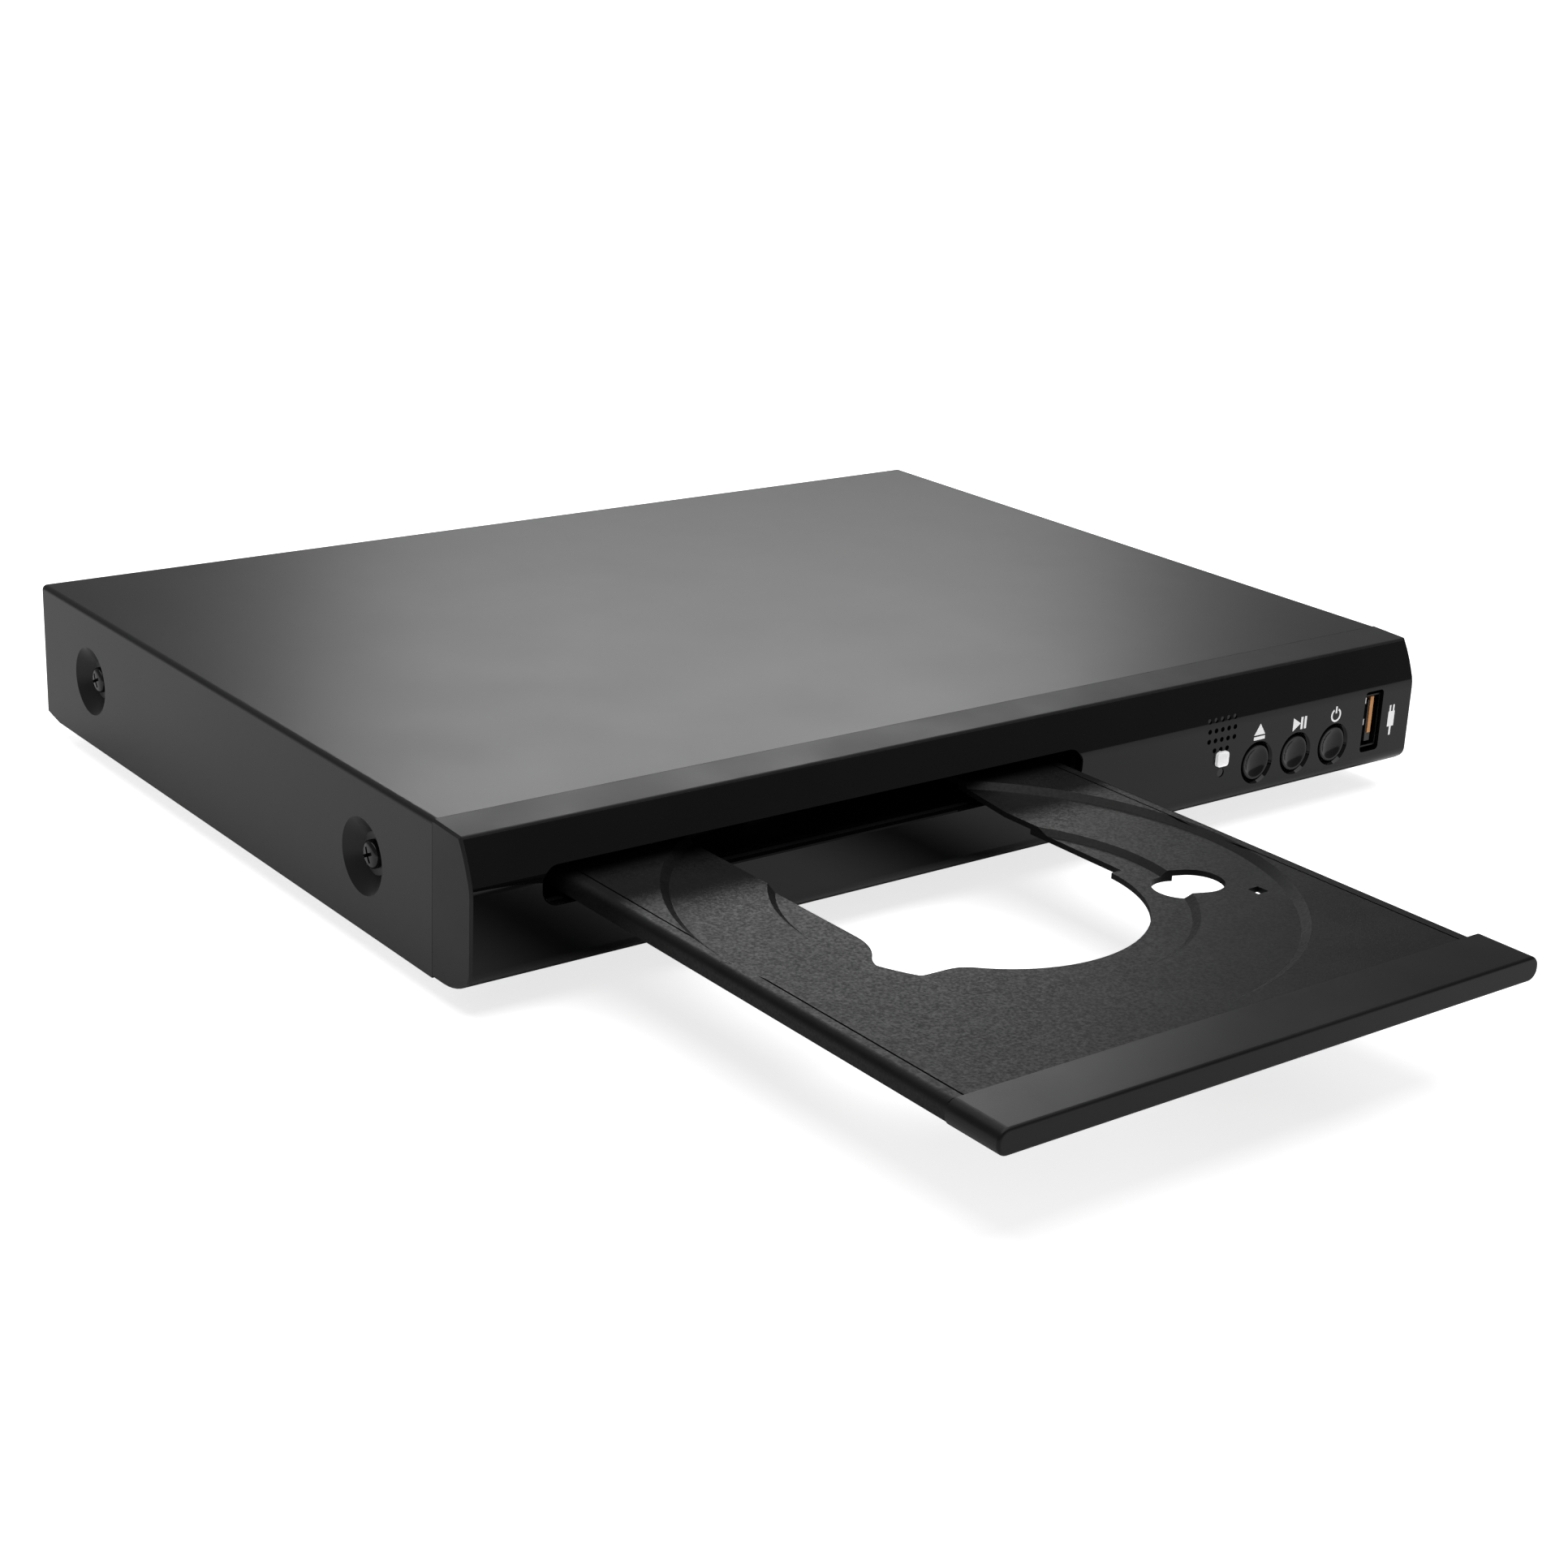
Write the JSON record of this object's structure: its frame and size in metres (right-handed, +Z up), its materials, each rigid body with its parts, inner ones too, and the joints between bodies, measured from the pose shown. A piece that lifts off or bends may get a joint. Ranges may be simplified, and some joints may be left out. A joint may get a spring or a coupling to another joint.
{
  "type": "disc player",
  "caption": "Compact set-top disc player with its disc tray open, front lens panel, round push buttons and a USB port.",
  "frame": {"origin": "point of the rest plane under the middle of the player with its tray out, midway between its sides and between the front of the tray cap and the rear jacks", "axes": "+Z up, +X to the right seen from the front, +Y from the front to the rear; the tray opens toward -Y"},
  "size_m": [0.265, 0.3294, 0.0377],
  "materials": {
    "cover_paint": "satin",
    "chassis_steel": "satin",
    "foot_rubber": "matte",
    "screw_black": "gloss",
    "bezel_plastic": "matte",
    "lens_plastic": "gloss",
    "board_green": "satin",
    "board_tan": "matte",
    "part_black": "satin",
    "led_plastic": "gloss",
    "steel_plate": "satin",
    "usb_plastic": "satin",
    "ribbon_white": "satin",
    "tray_plastic": "fine texture",
    "cap_plastic": "gloss",
    "loader_plastic": "matte",
    "screw_steel": "satin",
    "cable_black": "satin",
    "white_plastic": "satin",
    "belt_rubber": "matte",
    "magnet_steel": "satin",
    "polished_steel": "polished",
    "cast_metal": "cast",
    "lens_glass": "polished",
    "capacitor_sleeve": "gloss",
    "transformer_tape": "satin",
    "sink_aluminium": "satin",
    "sheet_film": "satin",
    "button_plastic": "gloss"
  },
  "bodies": {
    "player_body": {"av_jacks": "part_black", "board_screws": "screw_steel", "chassis_base": "chassis_steel", "clamp_bridge": "loader_plastic", "cover_screws": "screw_black", "drive_belt": "belt_rubber", "feet": "foot_rubber", "front_bezel": "bezel_plastic", "front_board": "board_green", "front_cable": "ribbon_white", "front_lens": "lens_plastic", "hdmi_socket": "steel_plate", "heat_sink": "sink_aluminium", "insulation_sheet": "sheet_film", "ir_receiver": "part_black", "loader_board": "board_green", "loader_cable": "cable_black", "loader_frame": "loader_plastic", "loader_screws": "screw_steel", "loading_motor": "steel_plate", "main_board": "board_green", "main_capacitors": "capacitor_sleeve", "main_chips": "part_black", "pickup_cable": "ribbon_white", "power_board": "board_tan", "power_cable": "cable_black", "power_capacitors": "capacitor_sleeve", "power_inlet": "part_black", "power_led": "led_plastic", "tact_switches": "part_black", "top_cover": "cover_paint", "transformer": "transformer_tape", "usb_shell": "steel_plate", "usb_tongue": "usb_plastic"},
    "disc_tray_body": {"disc_tray": "tray_plastic", "tray_cap": "cap_plastic"},
    "drive_gear_body": {"drive_gear": "white_plastic"},
    "pulley_gear_body": {"pulley_gear": "white_plastic"},
    "motor_pulley_body": {"motor_pulley": "white_plastic"},
    "cam_body": {"cam_slider": "white_plastic"},
    "traverse_body": {"lifter_frame": "loader_plastic", "dampers": "belt_rubber", "damper_screws": "screw_steel", "traverse_plate": "steel_plate", "spindle_motor": "steel_plate", "guide_rods": "polished_steel", "sled_motor": "steel_plate"},
    "turntable_body": {"turntable": "loader_plastic", "turntable_pad": "belt_rubber"},
    "sled_body": {"pickup_sled": "cast_metal", "objective_lens": "lens_glass"},
    "lead_screw_body": {"lead_screw": "polished_steel"},
    "puck_body": {"clamp_puck": "white_plastic", "clamp_magnet": "magnet_steel"},
    "eject_body": {"button_eject": "button_plastic", "plunger_eject": "loader_plastic"},
    "play_body": {"button_play": "button_plastic", "plunger_play": "loader_plastic"},
    "power_body": {"button_power": "button_plastic", "plunger_power": "loader_plastic"}
  },
  "joints": [
    {"name": "tray_slide", "type": "slide", "parent": "player_body", "child": "disc_tray_body", "axis": [0, 1, 0], "range_m": [0, 0.1245]},
    {"name": "drive_gear_turn", "type": "hinge", "parent": "player_body", "child": "drive_gear_body", "pos_m": [-0.0991, -0.00815, 0.021], "axis": [0, 0, 1], "continuous": true},
    {"name": "pulley_gear_turn", "type": "hinge", "parent": "player_body", "child": "pulley_gear_body", "pos_m": [-0.0831, -0.00815, 0.018], "axis": [0, 0, 1], "continuous": true},
    {"name": "motor_pulley_turn", "type": "hinge", "parent": "player_body", "child": "motor_pulley_body", "pos_m": [-0.045, -0.00815, 0.017], "axis": [0, 0, 1], "continuous": true},
    {"name": "traverse_lift", "type": "hinge", "parent": "player_body", "child": "traverse_body", "pos_m": [-0.0458, 0.12585, 0.0165], "axis": [-1, 0, 0], "range_deg": [0, 4.27]},
    {"name": "cam_shift", "type": "slide", "parent": "player_body", "child": "cam_body", "axis": [1, 0, 0], "range_m": [0, 0.018]},
    {"name": "spindle_spin", "type": "hinge", "parent": "traverse_body", "child": "turntable_body", "pos_m": [-0.0458, 0.03807, 0.01967], "axis": [0, -0.0745, 0.9972], "continuous": true},
    {"name": "puck_spin", "type": "hinge", "parent": "player_body", "child": "puck_body", "pos_m": [-0.0458, 0.03855, 0.0297], "axis": [0, 0, 1], "continuous": true},
    {"name": "sled_slide", "type": "slide", "parent": "traverse_body", "child": "sled_body", "axis": [0, 0.9972, 0.0745], "range_m": [0, 0.036]},
    {"name": "lead_screw_turn", "type": "hinge", "parent": "traverse_body", "child": "lead_screw_body", "pos_m": [-0.0192, 0.05179, 0.01057], "axis": [0, 0.9972, 0.0745], "continuous": true},
    {"name": "button_eject_press", "type": "slide", "parent": "player_body", "child": "eject_body", "axis": [0, 1, 0], "range_m": [0, 0.0005], "stiffness_N_per_m": 1500},
    {"name": "button_play_press", "type": "slide", "parent": "player_body", "child": "play_body", "axis": [0, 1, 0], "range_m": [0, 0.0005], "stiffness_N_per_m": 1500},
    {"name": "button_power_press", "type": "slide", "parent": "player_body", "child": "power_body", "axis": [0, 1, 0], "range_m": [0, 0.0005], "stiffness_N_per_m": 1500}
  ],
  "couplings": [
    {"joint": "drive_gear_turn", "follows": "tray_slide", "rad_per_m": -117.65},
    {"joint": "pulley_gear_turn", "follows": "tray_slide", "rad_per_m": 274.51},
    {"joint": "motor_pulley_turn", "follows": "tray_slide", "rad_per_m": 1098},
    {"joint": "cam_shift", "follows": "traverse_lift", "m_per_rad": 0.24153},
    {"joint": "puck_spin", "follows": "spindle_spin", "ratio": 1},
    {"joint": "lead_screw_turn", "follows": "sled_slide", "rad_per_m": 2094.4}
  ]
}
